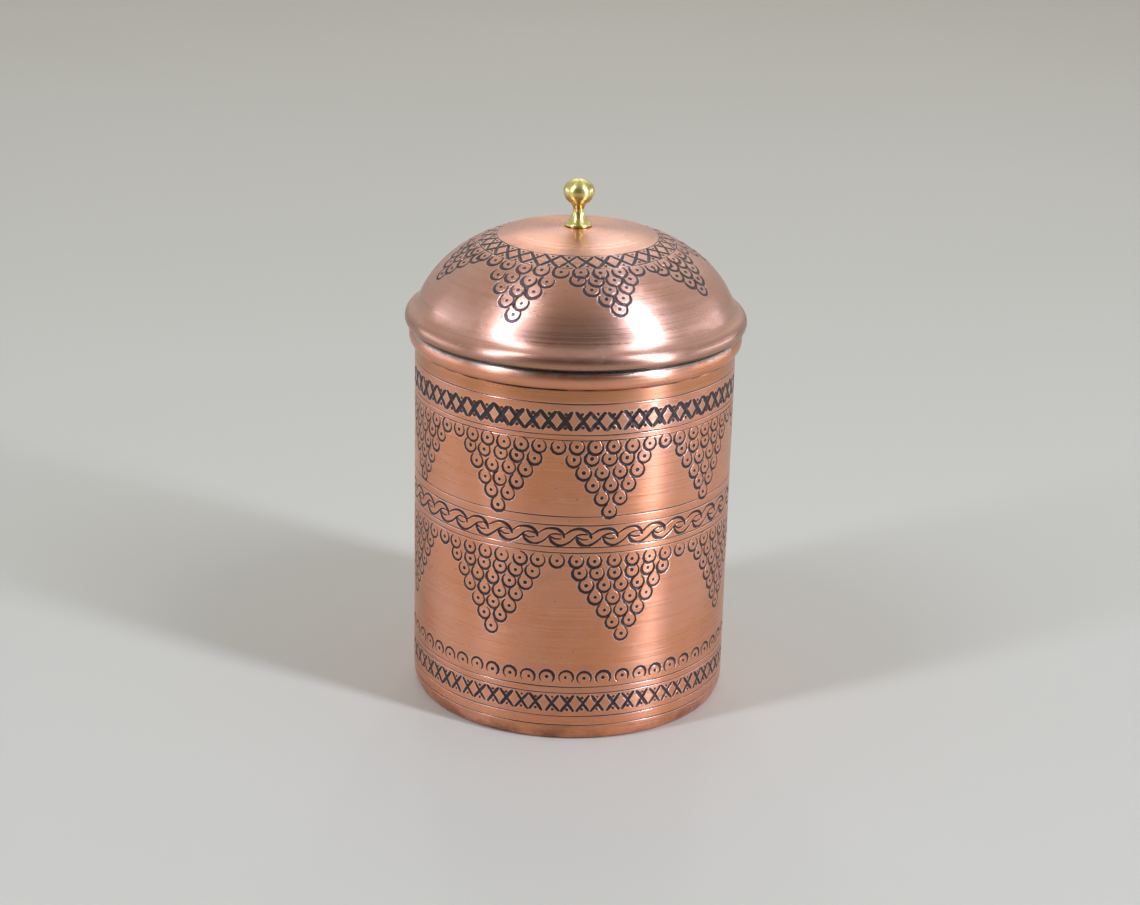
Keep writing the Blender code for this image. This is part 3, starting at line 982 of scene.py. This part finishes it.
def solder_look(name, seed):
    """Dull solder with a pitted, frosted skin."""
    look = Look(name)
    frost = look.noise(900.0, 4.0, 0.7, seed)
    colour = look.mix(look.ramp(frost, 0.35, 0.7), (0.60, 0.60, 0.58), (0.40, 0.40, 0.39))
    roughness = look.ramp(look.noise(300.0, 3.0, 0.6, seed + 1), 0.3, 0.7, 0.32, 0.58)
    return look.finish(colour, roughness, look.bump(frost, 0.00008, 0.6))


def brass_look(name, seed, polish=0.24, wear=0.35):
    """Turned brass with fine tool lines, a little tarnish in patches and small dents."""
    look = Look(name, anisotropy=0.6)
    lines = look.turned_noise(40.0, 9000.0, 2.0, seed)
    tarnish = look.ramp(look.noise(420.0, 3.0, 0.6, seed + 1), 0.45, 0.70, 0.0, wear)
    colour = look.mix(look.ramp(lines, 0.3, 0.7), (0.84, 0.72, 0.27), (0.70, 0.58, 0.18))
    colour = look.mix(tarnish, colour, (0.40, 0.30, 0.12))
    roughness = look.ramp(look.noise(260.0, 3.0, 0.6, seed + 2), 0.3, 0.7, polish, polish + 0.16)
    normal = look.bump(look.noise(300.0, 2.0, 0.5, seed + 3), 0.00004, 0.25)
    normal = look.bump(lines, 0.000008, 0.5, normal)
    return look.finish(colour, roughness, normal)


def floor_look():
    """Pale, slightly warm matt floor."""
    look = Look("pale_floor")
    look.shader.inputs["Metallic"].default_value = 0.0
    shade = look.noise(3.0, 3.0, 0.5, 2.0)
    colour = look.mix(shade, (0.49, 0.455, 0.35), (0.53, 0.49, 0.38))
    return look.finish(colour, look.ramp(shade, 0.3, 0.7, 0.62, 0.7))


# -------- the studio

def make_camera():
    """The photograph's view, above the crown; its figures come from a fit to the photograph."""
    distance, height = 14.376 * WALL_RADIUS * MM, 6.610 * WALL_RADIUS * MM
    pitch, roll, yaw = math.radians(19.46), math.radians(1.415), math.radians(0.065)
    level = Vector((math.cos(yaw), math.sin(yaw), 0.0))
    ahead = Vector((-math.sin(yaw), math.cos(yaw), 0.0))
    forward = ahead * math.cos(pitch) - Vector((0.0, 0.0, math.sin(pitch)))
    upright = level.cross(forward)
    right = level * math.cos(roll) + upright * math.sin(roll)
    up = upright * math.cos(roll) - level * math.sin(roll)
    data = bpy.data.cameras.new("camera")
    data.sensor_width = 36.0
    data.lens = 75.79
    camera = bpy.data.objects.new("camera", data)
    camera.matrix_world = Matrix((right, up, -forward)).transposed().to_4x4()
    camera.location = (0.0, -distance, height)
    bpy.context.scene.collection.objects.link(camera)
    bpy.context.scene.camera = camera


def make_light(name, azimuth, elevation, distance, size, power, colour=(1.0, 1.0, 1.0)):
    """A soft box aimed at the caddy; azimuth 0 is the camera's side, positive to its right."""
    data = bpy.data.lights.new(name, "AREA")
    data.shape = "RECTANGLE"
    data.size, data.size_y = size
    data.energy = power
    data.color = colour
    turn, tilt = math.radians(azimuth), math.radians(elevation)
    away = Vector((math.sin(turn) * math.cos(tilt), -math.cos(turn) * math.cos(tilt), math.sin(tilt)))
    target = Vector((0.0, 0.0, 0.5 * crown_height * MM))
    light = bpy.data.objects.new(name, data)
    light.location = target + away * distance
    light.rotation_euler = (-away).to_track_quat("-Z", "Y").to_euler()
    bpy.context.scene.collection.objects.link(light)


def make_floor():
    """The pale floor."""
    bm = bmesh.new()
    bmesh.ops.create_grid(bm, x_segments=8, y_segments=8, size=6.0)
    mesh = bpy.data.meshes.new("floor")
    bm.to_mesh(mesh)
    bm.free()
    mesh.materials.append(floor_look())
    floor = bpy.data.objects.new("floor", mesh)
    bpy.context.scene.collection.objects.link(floor)


def make_lights():
    """Two tall windows in front, low soft boxes at the sides, and strips and a wall behind."""
    cool = (0.84, 0.96, 1.34)
    make_light("left_window", -58, 38, 1.6, (0.16, 1.5), 14.0, cool)
    make_light("right_window", 58, 27, 1.6, (0.16, 1.9), 29.0, cool)
    make_light("left_side", -100, 6, 1.6, (1.2, 0.30), 3.1, cool)
    make_light("right_side", 105, 6, 1.6, (1.2, 0.30), 3.1, cool)
    make_light("back_left", -171, 40, 1.8, (0.10, 0.9), 1.0)
    make_light("back_right", 171, 40, 1.8, (0.10, 0.9), 1.0)
    make_light("back_wall", 175, 35, 1.8, (1.6, 1.0), 2.5)


def make_surround():
    """A grey surround, darker and warmer on the camera's side."""
    world = bpy.data.worlds.new("surround")
    world.use_nodes = True
    nodes, links = world.node_tree.nodes, world.node_tree.links
    direction = nodes.new("ShaderNodeTexCoord")
    split = nodes.new("ShaderNodeSeparateXYZ")
    links.new(direction.outputs["Generated"], split.inputs[0])
    behind = nodes.new("ShaderNodeMapRange")
    behind.interpolation_type = "SMOOTHSTEP"
    behind.inputs["From Min"].default_value = -0.85
    behind.inputs["From Max"].default_value = -0.10
    links.new(split.outputs["Y"], behind.inputs["Value"])
    shade = nodes.new("ShaderNodeMix")
    shade.data_type = "RGBA"
    links.new(behind.outputs["Result"], shade.inputs["Factor"])
    shade.inputs[6].default_value = (0.10, 0.085, 0.07, 1.0)
    shade.inputs[7].default_value = (0.50, 0.51, 0.53, 1.0)
    links.new(shade.outputs[2], nodes["Background"].inputs["Color"])
    bpy.context.scene.world = world


# -------- the caddy

make_camera()

BLACK_OXIDE = (0.055, 0.042, 0.038)
BROWN_OXIDE = (0.105, 0.075, 0.066)
body_copper = copper_look("body_copper", (0.77, 0.345, 0.21), (0.74, 0.30, 0.15), BLACK_OXIDE, 1.0)
lid_copper = copper_look("lid_copper", (0.75, 0.42, 0.30), (0.71, 0.35, 0.22), BROWN_OXIDE, 40.0)
base_copper = copper_look("base_copper", (0.74, 0.42, 0.27), (0.66, 0.34, 0.19), BLACK_OXIDE, 80.0)
solder = solder_look("solder", 5.0)

make_drum(body_copper)
make_pan(base_copper)
make_fillet("base_solder", "base_solder_seam", "canister", solder, 3)
make_lid(lid_copper)
make_collar(tin_look("tinned_copper", 12.0))
make_fillet("collar_solder", "collar_solder_seam", "lid", solder, 7)
make_knob(brass_look("knob_brass", 20.0))
fastener = brass_look("fastener_brass", 30.0, 0.3, 0.8)
make_washer(fastener)
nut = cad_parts["knob_nut"]
nut.data.materials.clear()
nut.data.materials.append(fastener)

make_floor()
make_lights()
make_surround()
bpy.context.scene.view_settings.view_transform = "Standard"
